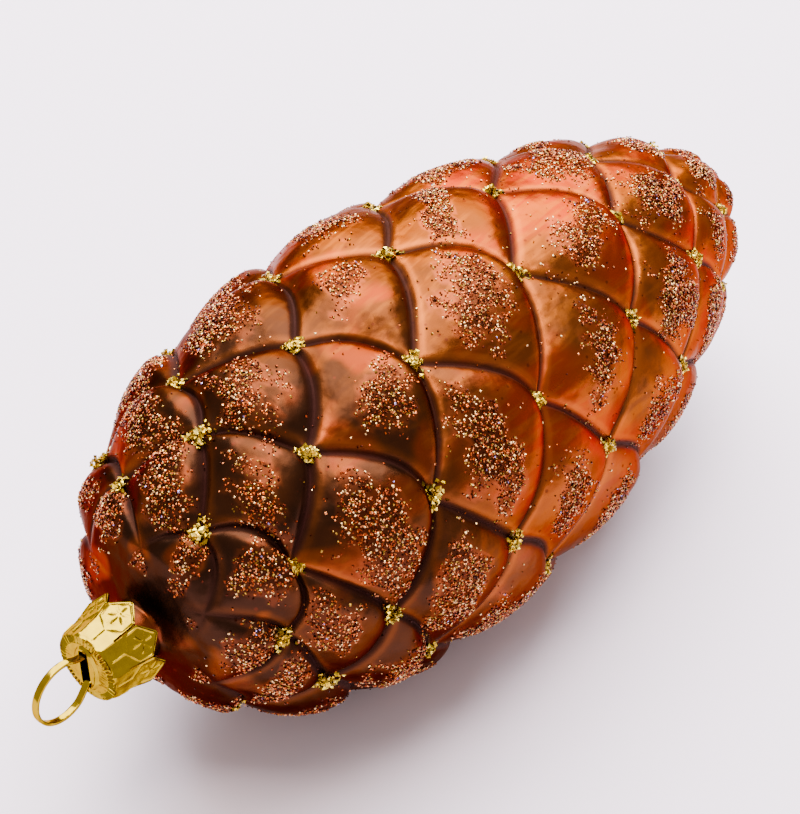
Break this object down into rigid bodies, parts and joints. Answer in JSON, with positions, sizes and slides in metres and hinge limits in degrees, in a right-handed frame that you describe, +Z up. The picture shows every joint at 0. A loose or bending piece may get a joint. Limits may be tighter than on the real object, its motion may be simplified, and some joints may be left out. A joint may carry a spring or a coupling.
{
  "type": "glass pine cone ornament",
  "caption": "Hollow blown-glass hanging ornament in the form of a pine cone, with scales in relief, a stamped metal crown cap and a wire loop, lying on its side.",
  "frame": {"origin": "on the resting surface, below the middle of the ornament's length and width", "axes": "+X along the cone's axis from the cap to the tip, +Z up as it lies on a level surface"},
  "size_m": [0.1762, 0.0699, 0.0683],
  "materials": {
    "copper_lacquered_glass": "blown glass under a satin copper metallic lacquer, with copper and gold glitter glued on",
    "gilt_cap": "polished stamped sheet, gold coloured",
    "gilt_wire": "polished flat strip, gold coloured"
  },
  "bodies": {
    "root": {"glass_body": "copper_lacquered_glass", "cap": "gilt_cap", "hanger": "gilt_wire"}
  },
  "joints": []
}
